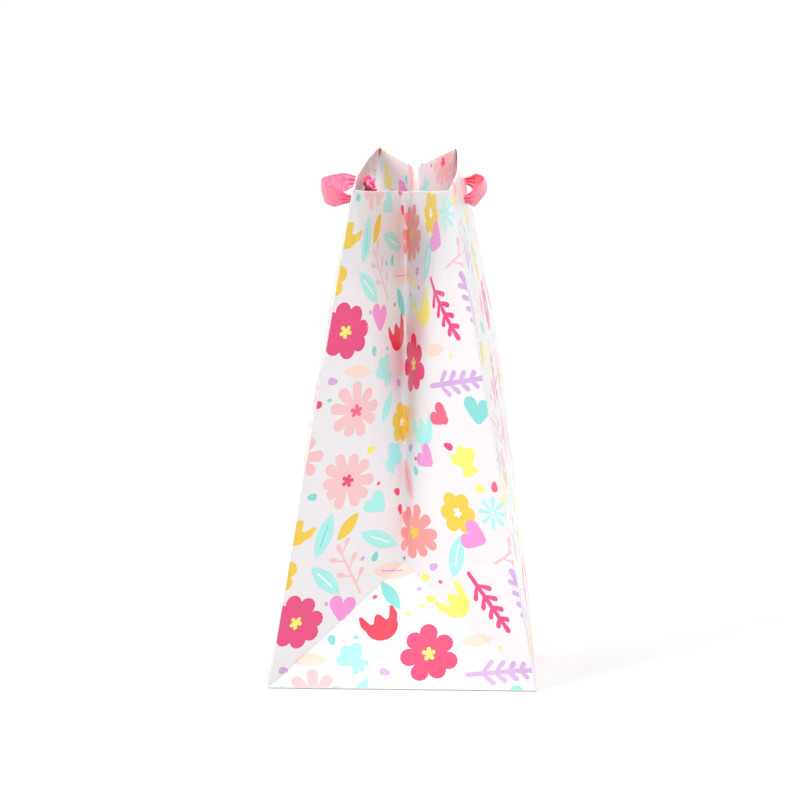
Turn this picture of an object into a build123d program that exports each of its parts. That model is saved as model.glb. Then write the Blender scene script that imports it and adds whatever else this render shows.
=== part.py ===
from math import asin, cos, degrees, hypot, radians, sin, sqrt, tan
import os

from build123d import *

# Gift bag of printed paper with a wide flat base, two V-folded gussets and two short ribbon handles.
# Millimetres, +Z up, +X along the broad panels, the front panel faces -Y.
# The origin is the middle of the rectangle that the bag stands on.
# The bag's sheet is one piece of paper. It is split here at its creases, which are its hinges.

# Driving dimensions
WIDTH = 254.0  # broad panels, along X
DEPTH = 127.0  # gussets, along Y
SLANT = 240.0  # crease at the base to the top edge, along a panel
LEAN = radians(9.9)  # each broad panel leans in from the vertical
PAPER = 0.25
CREASE_GAP = 1.2  # paper left out beside a crease, so that the folded pieces clear each other

HEM = 40.0  # paper turned in at the mouth
HEM_END_GAP = 14.0  # from a panel's corner crease to the end of its hem
HEM_STRIP_CUT = 7.0  # the gusset's hem strip starts this far along the top edge from the corner
TOP_BOARD_THICKNESS = 0.6
TOP_BOARD_HEIGHT = 32.0
TOP_BOARD_END_GAP = 20.0
TOP_BOARD_DROP = 1.0  # below the top edge

FLAP_OVERLAP = 10.0  # each long bottom flap passes the middle by this
END_FLAP_REACH = 45.0
BASE_BOARD_THICKNESS = 1.0
BASE_BOARD_END_GAP = 3.0
BASE_BOARD_SIDE_GAP = 1.5
BASE_BOARD_CORNER = 2.0

SEAM_WIDTH = 14.0
SEAM_EDGE_GAP = 3.0
SEAM_BOTTOM_GAP = 6.0
SEAM_HEM_GAP = 5.0

HOLE_RADIUS = 2.5
HOLE_SPACING = 95.0
HOLE_DROP = 13.0  # hole centre below the top edge

RIBBON_WIDTH = 10.0
RIBBON_THICKNESS = 0.6
RIBBON_END_WIDTH = 4.0  # gathered where it comes out of the panel
RIBBON_GATHER = 11.0  # along X, from the gathered end to full width
NECK_RADIUS = 1.8
NECK_REACH = 2.0  # outside the panel's face
PIVOT_REACH = 4.3  # the loop turns about this line outside the panel's face
KNOT_RADIUS = 4.5
KNOT_THICKNESS = 7.0
KNOT_FILLET = 3.0
KNOT_GAP = 0.2
TAIL_LENGTH = 13.0
TAIL_WIDTH = 8.0
TAIL_THICKNESS = 0.4

# Worked out from these
HALF_WIDTH = WIDTH / 2
HALF_DEPTH = DEPTH / 2
PANEL_STACK = 2 * PAPER + TOP_BOARD_THICKNESS  # panel, board and hem together
V_CREASE = SLANT - HALF_DEPTH  # length of the gusset's middle crease above its apex


def vector_between(start, end, share):
    """The point this share of the way from start to end."""
    return start + (end - start) * share


def gusset_corners(end_sign, side_sign):
    """Base corner, apex, top corner and top of the middle crease, for one half of one gusset."""
    lower_cos = (1 - sin(LEAN)) / cos(LEAN)  # the lower triangle's tilt, as the rigid facets close
    lower_sin = sqrt(1 - lower_cos**2)
    top_y = HALF_DEPTH - SLANT * sin(LEAN)
    top_z = SLANT * cos(LEAN)
    apex_in = HALF_DEPTH * lower_sin
    apex_z = HALF_DEPTH * lower_cos
    # The middle crease's top lies V_CREASE from the apex and HALF_DEPTH from the top corner.
    corner_in_plane = sqrt(HALF_DEPTH**2 - top_y**2)
    between = hypot(apex_in, top_z - apex_z)
    along = (corner_in_plane**2 - V_CREASE**2 + between**2) / (2 * between)
    across = sqrt(corner_in_plane**2 - along**2)
    crease_in = (along * apex_in + across * (top_z - apex_z)) / between
    crease_z = top_z + (along * (apex_z - top_z) + across * apex_in) / between
    base_corner = Vector(end_sign * HALF_WIDTH, side_sign * HALF_DEPTH, 0)
    apex = Vector(end_sign * (HALF_WIDTH - apex_in), 0, apex_z)
    top_corner = Vector(end_sign * HALF_WIDTH, side_sign * top_y, top_z)
    crease_top = Vector(end_sign * (HALF_WIDTH - crease_in), 0, crease_z)
    return base_corner, apex, top_corner, crease_top


def facet_plane(corners, inside):
    """The plane of a facet, with +Z on the side of the point inside the bag."""
    first, second, third = corners[:3]
    normal = (second - first).cross(third - first).normalized()
    if normal.dot(inside - first) < 0:
        normal = normal * -1
    return Plane(origin=first, x_dir=second - first, z_dir=normal)


def paper_facet(corners, inside, layer=0):
    """A flat facet of paper inside its creases, on the given layer counted from the printed face."""
    plane = facet_plane(corners, inside)
    flat = [plane.to_local_coords(corner) for corner in corners]
    with BuildPart() as facet:
        with BuildSketch(plane.offset(layer * PAPER)):
            with BuildLine():
                Polyline(*[(corner.X, corner.Y) for corner in flat], close=True)
            make_face()
            offset(amount=-CREASE_GAP, kind=Kind.INTERSECTION)
        extrude(amount=PAPER)
    return facet.part


def panel_plane(side_sign):
    """The printed face of a broad panel: local Y runs up the slope and +Z points into the bag."""
    return Plane(
        origin=(0, side_sign * HALF_DEPTH, 0),
        x_dir=(side_sign, 0, 0),
        z_dir=(0, -side_sign * cos(LEAN), -sin(LEAN)),
    )


def save(part, label):
    """Labels a finished piece and writes its file."""
    part.label = label
    export_step(part, f"parts/{label}.step")


os.makedirs("parts", exist_ok=True)
hole_places = [(-HOLE_SPACING / 2, SLANT - HOLE_DROP), (HOLE_SPACING / 2, SLANT - HOLE_DROP)]

# Bottom: two long flaps glued over each other, two end flaps on them and a loose stiff board on top
flap_length = WIDTH - 2 * CREASE_GAP
flap_depth = HALF_DEPTH - CREASE_GAP + FLAP_OVERLAP
for flap_name, flap_sign, flap_layer in (("back", 1, 0), ("front", -1, 1)):
    flap_middle = flap_sign * (HALF_DEPTH - CREASE_GAP - flap_depth / 2)
    with BuildPart() as long_flap:
        with BuildSketch(Plane.XY.offset(flap_layer * PAPER)):
            with Locations((0, flap_middle)):
                Rectangle(flap_length, flap_depth)
        extrude(amount=PAPER)
    save(long_flap.part, f"{flap_name}_bottom_flap")

for end_name, end_sign in (("left", -1), ("right", 1)):
    end_edge = end_sign * (HALF_WIDTH - CREASE_GAP)
    end_inner = end_edge - end_sign * END_FLAP_REACH
    wide = HALF_DEPTH - CREASE_GAP
    narrow = wide - END_FLAP_REACH
    with BuildPart() as end_flap:
        with BuildSketch(Plane.XY.offset(2 * PAPER)):
            with BuildLine():
                Polyline(
                    (end_edge, -wide),
                    (end_inner, -narrow),
                    (end_inner, narrow),
                    (end_edge, wide),
                    close=True,
                )
            make_face()
        extrude(amount=PAPER)
    save(end_flap.part, f"{end_name}_bottom_flap")

with BuildPart() as base_board:
    with BuildSketch(Plane.XY.offset(3 * PAPER)):
        RectangleRounded(
            WIDTH - 2 * BASE_BOARD_END_GAP,
            DEPTH - 2 * BASE_BOARD_SIDE_GAP,
            BASE_BOARD_CORNER,
        )
    extrude(amount=BASE_BOARD_THICKNESS)
save(base_board.part, "base_board")

# Broad panels, each with its stiffening board, the hem turned in over it and two ribbon knots inside
for side_name, side_sign in (("front", -1), ("back", 1)):
    face = panel_plane(side_sign)

    with BuildPart() as panel:
        with BuildSketch(face):
            with Locations((0, (CREASE_GAP + SLANT) / 2)):
                Rectangle(WIDTH - 2 * CREASE_GAP, SLANT - CREASE_GAP)
            with Locations(*hole_places):
                Circle(HOLE_RADIUS, mode=Mode.SUBTRACT)
        extrude(amount=PAPER)
    save(panel.part, f"{side_name}_panel")

    with BuildPart() as top_board:
        with BuildSketch(face.offset(PAPER)):
            with Locations((0, SLANT - TOP_BOARD_DROP - TOP_BOARD_HEIGHT / 2)):
                Rectangle(WIDTH - 2 * TOP_BOARD_END_GAP, TOP_BOARD_HEIGHT)
            with Locations(*hole_places):
                Circle(HOLE_RADIUS, mode=Mode.SUBTRACT)
        extrude(amount=TOP_BOARD_THICKNESS)
    save(top_board.part, f"{side_name}_top_board")

    with BuildPart() as top_hem:
        with BuildSketch(face.offset(PAPER + TOP_BOARD_THICKNESS)):
            with Locations((0, SLANT - HEM / 2)):
                Rectangle(WIDTH - 2 * HEM_END_GAP, HEM)
            with Locations(*hole_places):
                Circle(HOLE_RADIUS, mode=Mode.SUBTRACT)
        extrude(amount=PAPER)
    save(top_hem.part, f"{side_name}_top_hem")

    # Local X of the back panel runs with the bag's X, and that of the front panel against it.
    for end_name, end_sign in (("left", -1), ("right", 1)):
        hole_x = side_sign * end_sign * HOLE_SPACING / 2
        knot_start = PANEL_STACK + KNOT_GAP
        with BuildPart() as knot:
            with BuildSketch(face.offset(knot_start)):
                with Locations((hole_x, SLANT - HOLE_DROP)):
                    Circle(KNOT_RADIUS)
            extrude(amount=KNOT_THICKNESS)
            fillet(knot.edges().filter_by(GeomType.CIRCLE), radius=KNOT_FILLET)
            with BuildSketch(face.offset(-NECK_REACH)):
                with Locations((hole_x, SLANT - HOLE_DROP)):
                    Circle(NECK_RADIUS)
            extrude(amount=NECK_REACH + knot_start + KNOT_THICKNESS / 2)
            with BuildSketch(face.offset(knot_start + KNOT_FILLET)):
                with Locations((hole_x, SLANT - HOLE_DROP - TAIL_LENGTH / 2)):
                    Rectangle(TAIL_WIDTH, TAIL_LENGTH)
            extrude(amount=TAIL_THICKNESS)
        save(knot.part, f"{side_name}_{end_name}_knot")

# The seam flap closes the sheet into a tube: it is glued inside the back panel beside its right crease.
seam_top = SLANT - HEM - SEAM_HEM_GAP
seam_height = seam_top - SEAM_BOTTOM_GAP
with BuildPart() as seam_flap:
    with BuildSketch(panel_plane(1).offset(PAPER)):
        with Locations((HALF_WIDTH - SEAM_EDGE_GAP - SEAM_WIDTH / 2, SEAM_BOTTOM_GAP + seam_height / 2)):
            Rectangle(SEAM_WIDTH, seam_height)
    extrude(amount=PAPER)
save(seam_flap.part, "side_seam_flap")

# Gussets: a lower triangle at each end, and above it an outer and an inner facet in each half
hem_share_of_crease = HEM / V_CREASE
hem_share_of_edge = HEM / SLANT
for end_name, end_sign in (("left", -1), ("right", 1)):
    bag_middle = Vector(0, 0, SLANT / 2)
    front_corner, apex = gusset_corners(end_sign, -1)[:2]
    back_corner = gusset_corners(end_sign, 1)[0]
    lower = paper_facet([front_corner, back_corner, apex], bag_middle)
    save(lower, f"{end_name}_lower_gusset")

    for side_name, side_sign in (("front", -1), ("back", 1)):
        base_corner, apex, top_corner, crease_top = gusset_corners(end_sign, side_sign)
        inside = Vector(0, side_sign * HALF_DEPTH, SLANT / 2)
        half_name = f"{end_name}_{side_name}"

        outer = paper_facet([base_corner, apex, top_corner], bag_middle)
        save(outer, f"{half_name}_gusset_outer")

        inner = paper_facet([top_corner, apex, crease_top], inside)
        save(inner, f"{half_name}_gusset_inner")

        # The hem folds with the gusset, so it has a corner on the outer facet and a strip on the inner one.
        hem_on_fold = vector_between(top_corner, apex, hem_share_of_crease)
        hem_on_edge = vector_between(top_corner, base_corner, hem_share_of_edge)
        hem_on_crease = vector_between(crease_top, apex, hem_share_of_crease)
        hem_corner = paper_facet([top_corner, hem_on_edge, hem_on_fold], bag_middle, 1)
        save(hem_corner, f"{half_name}_hem_corner")

        strip_start = vector_between(top_corner, crease_top, HEM_STRIP_CUT / HALF_DEPTH)
        hem_strip = paper_facet([strip_start, hem_on_fold, hem_on_crease, crease_top], inside, 1)
        save(hem_strip, f"{half_name}_hem_strip")

# Ribbon handles: each is a level loop from hole to hole, bowed out from its panel.
# The route gives X and the distance outside the pivot line, from one gathered end to the other.
LOOP_ROUTE = [(-47.5, 0.0), (-38.5, 6.8), (-25.0, 11.6), (-9.0, 14.0), (9.0, 14.4), (25.0, 12.0), (39.0, 6.4), (47.5, 0.0)]
hole_y = HALF_DEPTH - (SLANT - HOLE_DROP) * sin(LEAN)
hole_z = (SLANT - HOLE_DROP) * cos(LEAN)
pivot_y = hole_y + PIVOT_REACH * cos(LEAN)
pivot_z = hole_z + PIVOT_REACH * sin(LEAN)


def route_radii(route):
    """One radius for each inner point: 0.45 of the shorter run over the tangent of half the turn."""
    radii = []
    for before, here, after in zip(route, route[1:], route[2:]):
        run_in = Vector(here[0] - before[0], here[1] - before[1])
        run_out = Vector(after[0] - here[0], after[1] - here[1])
        shorter = min(run_in.length, run_out.length)
        half_turn = radians(run_in.get_angle(run_out)) / 2
        radii.append(0.45 * shorter / tan(half_turn))
    return radii


for side_name, side_sign in (("front", -1), ("back", 1)):
    # Local X of this upright sketch plane runs with the bag's X.
    taper_plane = Plane(origin=(0, 0, pivot_z), x_dir=(1, 0, 0), z_dir=(0, -1, 0))
    route = [(x, side_sign * (pivot_y + out)) for x, out in LOOP_ROUTE]
    radii = route_radii(route)
    print(side_name, "ribbon radii", [round(radius, 1) for radius in radii])
    half_end = RIBBON_END_WIDTH / 2
    half_ribbon = RIBBON_WIDTH / 2
    end_x = HOLE_SPACING / 2 + RIBBON_THICKNESS
    full_x = HOLE_SPACING / 2 - RIBBON_GATHER
    with BuildPart() as ribbon:
        with BuildSketch(Plane.XY.offset(pivot_z)):
            with BuildLine() as ribbon_line:
                FilletPolyline(*route, radius=radii)
            trace(line_width=RIBBON_THICKNESS)
        extrude(amount=half_ribbon, both=True)
        with BuildSketch(taper_plane) as taper:
            with BuildLine():
                Polyline(
                    (-end_x, -half_end),
                    (-full_x, -half_ribbon),
                    (full_x, -half_ribbon),
                    (end_x, -half_end),
                    (end_x, half_end),
                    (full_x, half_ribbon),
                    (-full_x, half_ribbon),
                    (-end_x, half_end),
                    close=True,
                )
            make_face()
        extrude(amount=DEPTH, both=True, mode=Mode.INTERSECT)
    ribbon_length = sum(edge.length for edge in ribbon_line.edges())
    print(side_name, "ribbon length", round(ribbon_length, 1), "volume", round(ribbon.part.volume, 1))
    save(ribbon.part, f"{side_name}_ribbon_handle")

mouth = 2 * (HALF_DEPTH - SLANT * sin(LEAN))
print("mouth opening", round(mouth, 1), "height", round(SLANT * cos(LEAN), 1))
print("mouth would shut at a lean of", round(degrees(asin(HALF_DEPTH / SLANT)), 1), "degrees")
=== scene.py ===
import math
import random

import bpy
from mathutils import Matrix, Vector, noise
from mathutils.geometry import delaunay_2d_cdt


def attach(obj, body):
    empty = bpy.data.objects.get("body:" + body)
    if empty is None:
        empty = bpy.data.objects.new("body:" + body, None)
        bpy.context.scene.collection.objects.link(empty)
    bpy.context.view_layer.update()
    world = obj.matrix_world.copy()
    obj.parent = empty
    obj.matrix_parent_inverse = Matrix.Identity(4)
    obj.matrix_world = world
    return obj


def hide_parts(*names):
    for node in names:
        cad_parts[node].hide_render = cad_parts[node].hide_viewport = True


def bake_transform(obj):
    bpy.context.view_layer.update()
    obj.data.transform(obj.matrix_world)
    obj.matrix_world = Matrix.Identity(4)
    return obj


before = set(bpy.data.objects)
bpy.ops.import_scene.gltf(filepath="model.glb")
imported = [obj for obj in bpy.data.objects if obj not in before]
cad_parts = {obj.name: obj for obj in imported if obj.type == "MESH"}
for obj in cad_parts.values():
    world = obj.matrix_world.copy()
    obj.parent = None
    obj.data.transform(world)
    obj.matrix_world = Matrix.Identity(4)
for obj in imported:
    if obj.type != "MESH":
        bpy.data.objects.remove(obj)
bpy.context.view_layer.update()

# ---- sizes, in metres
MM = 0.001
WIDTH = 254 * MM
DEPTH = 127 * MM
SLANT = 240 * MM
LEAN = math.radians(9.9)
PAPER = 0.25 * MM
HEM = 40 * MM
TOP_BOARD = 0.6 * MM
TOP_BOARD_HEIGHT = 32 * MM
TOP_BOARD_DROP = 1.0 * MM
TOP_BOARD_END_GAP = 20 * MM
HOLE_SPACING = 95 * MM
HOLE_DROP = 13 * MM
HOLE_RADIUS = 2.5 * MM
PIVOT_REACH = 4.3 * MM
RIBBON_THICKNESS = 0.35 * MM
FLAP_OVERLAP = 10 * MM
END_FLAP_REACH = 45 * MM
SEAM_START, SEAM_END = 3.0, 17.0  # mm from the corner crease
SEAM_LOW, SEAM_HIGH = 6.0, 195.0  # mm up the sheet
SNUG = 0.02 * MM

HALF_WIDTH = WIDTH / 2
HALF_DEPTH = DEPTH / 2
PANEL_TURN = (2 * PAPER + TOP_BOARD) / 2  # the hem's fold goes round the board
GUSSET_TURN = 0.42 * MM
V_CREASE = SLANT - HALF_DEPTH
HOLE_V = (SLANT - HOLE_DROP) / MM
SHEET_LENGTH = 2 * (WIDTH + DEPTH)  # once round the bag

# Where each wall starts along the flat sheet, going round the bag
FRONT_START = 0.0
RIGHT_START = WIDTH
BACK_START = WIDTH + DEPTH
LEFT_START = 2 * WIDTH + DEPTH


def panel_start(side):
    """Where the front (-1) or back (1) panel starts on the flat sheet, in millimetres."""
    return (FRONT_START if side < 0 else BACK_START) / MM


def gusset_start(end):
    """Where the left (-1) or right (1) gusset starts on the flat sheet, in millimetres."""
    return (LEFT_START if end < 0 else RIGHT_START) / MM


def smooth_step(low, high, value):
    """Eases from 0 at low to 1 at high."""
    share = min(max((value - low) / (high - low), 0.0), 1.0)
    return share * share * (3 - 2 * share)


def line_length(line):
    return sum((b - a).length for a, b in zip(line, line[1:]))


def in_scene(name, data):
    """A new object in the scene, holding the given data."""
    thing = bpy.data.objects.new(name, data)
    bpy.context.scene.collection.objects.link(thing)
    return thing


# ---- the print
# Each motif is a list of (outline, colour) in millimetres about its own middle, later ones on top.
PALETTE = {
    "hot pink": (0.930, 0.215, 0.420),
    "crimson": (0.945, 0.180, 0.290),
    "rose": (0.965, 0.375, 0.490),
    "pale pink": (0.975, 0.735, 0.745),
    "coral": (0.985, 0.590, 0.585),
    "lilac": (0.790, 0.640, 0.840),
    "magenta": (0.890, 0.250, 0.480),
    "aqua": (0.640, 0.925, 0.895),
    "teal": (0.500, 0.820, 0.790),
    "yellow": (0.985, 0.925, 0.420),
    "mustard": (0.970, 0.765, 0.235),
    "peach": (0.985, 0.825, 0.765),
    "orchid": (0.955, 0.560, 0.800),
    "white": (0.990, 0.975, 0.975),
}
PAPER_WHITE = (0.910, 0.892, 0.908)


def placed_at(x, y, along, across, turn):
    """A point given along and across a direction, about x, y."""
    return (x + along * math.cos(turn) - across * math.sin(turn),
            y + along * math.sin(turn) + across * math.cos(turn))


def oval(x, y, length, width, angle=0.0, points=12):
    """A closed oval with its long side along angle, in degrees."""
    turn = math.radians(angle)
    outline = []
    for i in range(points):
        t = 2 * math.pi * i / points
        along, across = length / 2 * math.cos(t), width / 2 * math.sin(t)
        outline.append(placed_at(x, y, along, across, turn))
    return outline


def petal(angle, start, end, width, points=7):
    """A petal that widens from start to its round tip at end."""
    turn = math.radians(angle)
    radius = width / 2
    centre = end - radius
    half = [(start, 0.38 * radius), ((start + centre) / 2, 0.80 * radius)]
    shape = [(along, -across) for along, across in half]
    for i in range(points):
        t = math.pi * i / (points - 1)
        shape.append((centre + radius * math.sin(t), -radius * math.cos(t)))
    shape += reversed(half)
    return [placed_at(0, 0, along, across, turn) for along, across in shape]


def pointed_leaf(x, y, length, width, angle, points=7):
    """A leaf with two pointed ends."""
    turn = math.radians(angle)
    outline = []
    for side in (1, -1):
        for i in range(points):
            t = i / points if side == 1 else 1 - i / points
            along = length * (t - 0.5)
            across = side * width / 2 * math.sin(math.pi * t) ** 0.8
            outline.append(placed_at(x, y, along, across, turn))
    return outline


def bar(x0, y0, x1, y1, width, points=4):
    """A straight stroke with round ends."""
    direction = math.atan2(y1 - y0, x1 - x0)
    outline = []
    for x, y, first in ((x1, y1, -math.pi / 2), (x0, y0, math.pi / 2)):
        for i in range(points + 1):
            t = direction + first + math.pi * i / points
            outline.append((x + width / 2 * math.cos(t), y + width / 2 * math.sin(t)))
    return outline


def petal_flower(rng, colour, middle, radius, petals, width):
    pieces = []
    for i in range(petals):
        angle = 360 * i / petals + rng.uniform(-5, 5)
        pieces.append((petal(angle, radius * 0.10, radius * rng.uniform(0.90, 1.04), width), colour))
    pieces.append((oval(0, 0, radius * 0.46, radius * 0.42), colour))
    for i in range(5):
        angle = 72 * i + rng.uniform(-8, 8)
        pieces.append((petal(angle, 0.0, radius * 0.24, radius * 0.15, 5), middle))
    return pieces


def big_flower(rng):
    colour, middle = rng.choice([("hot pink", "yellow"), ("magenta", "yellow")])
    return petal_flower(rng, colour, middle, 14.5, rng.choice([7, 8]), 8.6)


def blossom(rng):
    colour, middle = rng.choice([("crimson", "pale pink"), ("coral", "white"), ("mustard", "white")])
    return petal_flower(rng, colour, middle, 10.5, 6, 7.8)


def daisy(rng):
    colour, middle = rng.choice([("pale pink", "rose"), ("coral", "mustard"), ("pale pink", "hot pink")])
    return petal_flower(rng, colour, middle, 14.0, rng.choice([9, 10]), 5.6)


def cup_tulip(rng):
    colour = rng.choice(["rose", "crimson", "mustard", "orchid", "aqua", "yellow"])
    outline = []
    for i in range(11):
        t = math.pi * (1 + i / 10)
        outline.append((8.0 * math.cos(t), 7.2 * math.sin(t)))
    for x, y in ((9.4, 3.2), (8.8, 7.6), (7.4, 8.0), (4.8, 2.6), (3.2, 2.2), (1.6, 5.2), (0.0, 6.4),
                 (-1.6, 5.2), (-3.2, 2.2), (-4.8, 2.6), (-7.4, 8.0), (-8.8, 7.6), (-9.4, 3.2)):
        outline.append((x, y))
    return [(outline, colour)]


def heart_bud(rng):
    colour = rng.choice(["crimson", "teal", "aqua", "orchid", "mustard", "rose", "peach"])
    size = rng.uniform(0.85, 1.1)
    return [(petal(62, 0.0, 11.5 * size, 7.0 * size), colour),
            (petal(112, 0.0, 12.5 * size, 7.0 * size), colour),
            (oval(0, 1.5, 5.0, 5.0), colour)]


def open_tulip(rng):
    colour = rng.choice(["mustard", "aqua", "yellow", "orchid"])
    petals = ((48, 9.5), (90, 10.0), (132, 9.5))
    return [(petal(angle, -6.0, reach, 5.8), colour) for angle, reach in petals]


def fern(rng):
    colour = rng.choice(["lilac", "magenta", "lilac", "teal"])
    pieces = [(bar(-16, 0, 13, 0, 2.4), colour)]
    for i in range(4):
        x = -9.5 + 6.2 * i
        reach = 8.6 - 0.9 * i
        for side in (1, -1):
            pieces.append((petal_at(x, 0, side * 46, reach, 2.7), colour))
    pieces.append((petal_at(11.0, 0, 0, 7.0, 3.0), colour))
    return pieces


def petal_at(x, y, angle, length, width):
    return [(x + px, y + py) for px, py in petal(angle, 0.0, length, width, 5)]


def twig(rng):
    colour = rng.choice(["pale pink", "teal", "coral", "pale pink"])
    pieces = [(bar(-14, 0, 12, 0, 1.1), colour)]
    for i in range(5):
        x = -8.5 + 4.6 * i
        side = 1 if i % 2 else -1
        pieces.append((bar(x, 0, x + 3.2, side * 3.6, 0.9, 3), colour))
        pieces.append((oval(x + 4.4, side * 5.0, 4.6, 2.6, side * 48), colour))
    pieces.append((oval(13.5, 0, 5.0, 2.8), colour))
    return pieces


def veined_leaf(rng):
    pairs = [("peach", "lilac"), ("pale pink", "rose"), ("aqua", "teal"), ("aqua", "white")]
    colour, vein = rng.choice(pairs)
    pieces = [(pointed_leaf(0, 0, 23, 8.6, 0), colour)]
    pieces.append((bar(-6, 0, 5, 0, 0.7, 3), vein))
    return pieces


def plain_leaf(rng):
    colour = rng.choice(["aqua", "mustard", "teal", "peach"])
    return [(pointed_leaf(0, 0, 17, 6.4, 0), colour)]


def star_sprig(rng):
    colour = rng.choice(["lilac", "aqua", "orchid"])
    return [(petal(360 * i / 8 + 10, 1.0, 8.2, 2.2, 5), colour) for i in range(8)]


def drop(rng):
    colour = rng.choice(["rose", "teal", "yellow", "lilac", "hot pink", "mustard"])
    return [(petal(0, -2.6, 2.6, 3.8, 6), colour)]


def dot(rng):
    colour = rng.choice(["rose", "teal", "yellow", "lilac", "peach"])
    return [(oval(0, 0, 2.6, 2.0, 0, 8), colour)]


# (motif, how many in a tile, circles that it keeps clear as (x along the motif, radius))
MOTIF_PLAN = [
    (big_flower, 2, [(0, 15.0)]),
    (daisy, 4, [(0, 14.0)]),
    (fern, 5, [(-11, 7.5), (0, 8.0), (11, 7.0)]),
    (blossom, 4, [(0, 10.8)]),
    (twig, 4, [(-9, 5.0), (1, 6.0), (11, 5.0)]),
    (open_tulip, 5, [(0, 8.5)]),
    (cup_tulip, 5, [(0, 9.2)]),
    (veined_leaf, 6, [(-7, 4.6), (0, 5.2), (7, 4.6)]),
    (heart_bud, 9, [(0, 7.0)]),
    (star_sprig, 3, [(0, 8.3)]),
    (plain_leaf, 6, [(-4, 4.0), (4, 4.0)]),
    (drop, 26, [(0, 3.4)]),
    (dot, 22, [(0, 2.2)]),
]
TILE_U = SHEET_LENGTH / MM / 4
TILE_V = 142.0
UPRIGHT = {cup_tulip, open_tulip, heart_bud}


def wrapped_distance(a, b):
    du = abs(a[0] - b[0]) % TILE_U
    dv = abs(a[1] - b[1]) % TILE_V
    return math.hypot(min(du, TILE_U - du), min(dv, TILE_V - dv))


def scatter_print(seed=41, tries=900):
    """One tile of the print, which repeats both ways: a list of (outline, colour)."""
    rng = random.Random(seed)
    taken, placed = [], []
    for make, count, circles in MOTIF_PLAN:
        for _ in range(count):
            for _ in range(tries):
                u, v = rng.uniform(0, TILE_U), rng.uniform(0, TILE_V)
                turn = math.radians(rng.uniform(-75, 75) if make in UPRIGHT else rng.uniform(0, 360))
                spots = [(u + x * math.cos(turn), v + x * math.sin(turn), r) for x, r in circles]
                if all(wrapped_distance(s, t) > s[2] + t[2] for s in spots for t in taken):
                    taken += spots
                    for outline, colour in make(rng):
                        placed.append(([placed_at(u, v, x, y, turn) for x, y in outline], colour))
                    break
    return placed


PRINT_TILE = scatter_print()


def tile_steps(values, low, high, tile):
    """The whole tiles by which values are moved so that they reach between low and high."""
    first = math.floor((low - max(values)) / tile)
    last = math.ceil((high - min(values)) / tile)
    steps = [i * tile for i in range(first, last + 1)]
    return [step for step in steps if max(values) + step >= low and min(values) + step <= high]


def print_over(low, high):
    """The print's outlines that reach the box from low to high, in millimetres on the flat sheet."""
    found = []
    for outline, colour in PRINT_TILE:
        us, vs = [p[0] for p in outline], [p[1] for p in outline]
        for du in tile_steps(us, low[0], high[0], TILE_U):
            for dv in tile_steps(vs, low[1], high[1], TILE_V):
                found.append(([(u + du, v + dv) for u, v in outline], colour))
    return found


# ---- cutting and folding the sheet
GRID = 7.0  # mm between the points that let the flat sheet bend
EDGE_STEP = 5.0


def stepped(start, end, step):
    """Points from start up to but not including end, no further apart than step."""
    pieces = max(1, math.ceil(math.dist(start, end) / step))
    return [(start[0] + (end[0] - start[0]) * i / pieces, start[1] + (end[1] - start[1]) * i / pieces)
            for i in range(pieces)]


def anticlockwise(loop):
    """The same closed outline, running anticlockwise."""
    area = sum(a[0] * b[1] - b[0] * a[1] for a, b in zip(loop, loop[1:] + loop[:1]))
    return loop if area > 0 else list(reversed(loop))


def cut_flat(outline, lines, holes, printed):
    """The flat sheet inside outline, in millimetres, as points, triangles and each triangle's colour."""
    low = (min(p[0] for p in outline), min(p[1] for p in outline))
    high = (max(p[0] for p in outline), max(p[1] for p in outline))
    points, loops, edges, colours = [], [], [], [PAPER_WHITE]

    def add_loop(loop):
        first = len(points)
        points.extend(Vector(p) for p in anticlockwise(loop))
        loops.append(list(range(first, first + len(loop))))

    border = []
    for start, end in zip(outline, outline[1:] + outline[:1]):
        border += stepped(start, end, EDGE_STEP)
    add_loop(border)
    for loop, colour in print_over(low, high) if printed else []:
        add_loop(loop)
        colours.append(PALETTE[colour])
    first_hole = len(loops)
    for u, v in holes:
        add_loop(oval(u, v, 2 * HOLE_RADIUS / MM, 2 * HOLE_RADIUS / MM, 0, 20))
    for start, end in lines:
        run = stepped(start, end, EDGE_STEP) + [end]
        first = len(points)
        points.extend(Vector(p) for p in run)
        edges += [(first + i, first + i + 1) for i in range(len(run) - 1)]
    rows = int((high[1] - low[1]) / GRID)
    columns = int((high[0] - low[0]) / GRID)
    for j in range(1, rows):
        for i in range(1, columns):
            shift = 0.5 * (j % 2)
            points.append(Vector((low[0] + (i + shift) * GRID, low[1] + j * GRID)))
    flat, _, faces, _, _, sources = delaunay_2d_cdt(points, edges, loops, 0, 1e-4)
    kept = [(face, max(ids)) for face, ids in zip(faces, sources) if 0 in ids and max(ids) < first_hole]
    return flat, [face for face, _ in kept], [colours[top] for _, top in kept]


def linear(colour):
    """An sRGB colour as linear light."""
    return tuple(c / 12.92 if c <= 0.04045 else ((c + 0.055) / 1.055) ** 2.4 for c in colour)


def normal_of(surface, u, v, step=0.05):
    across = surface(u + step, v) - surface(u - step, v)
    up = surface(u, v + step) - surface(u, v - step)
    return across.cross(up).normalized()


FAR = 99.0  # mm, for a fold that is too far away to matter


def no_creases(u, v):
    return (FAR, FAR, FAR)


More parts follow.
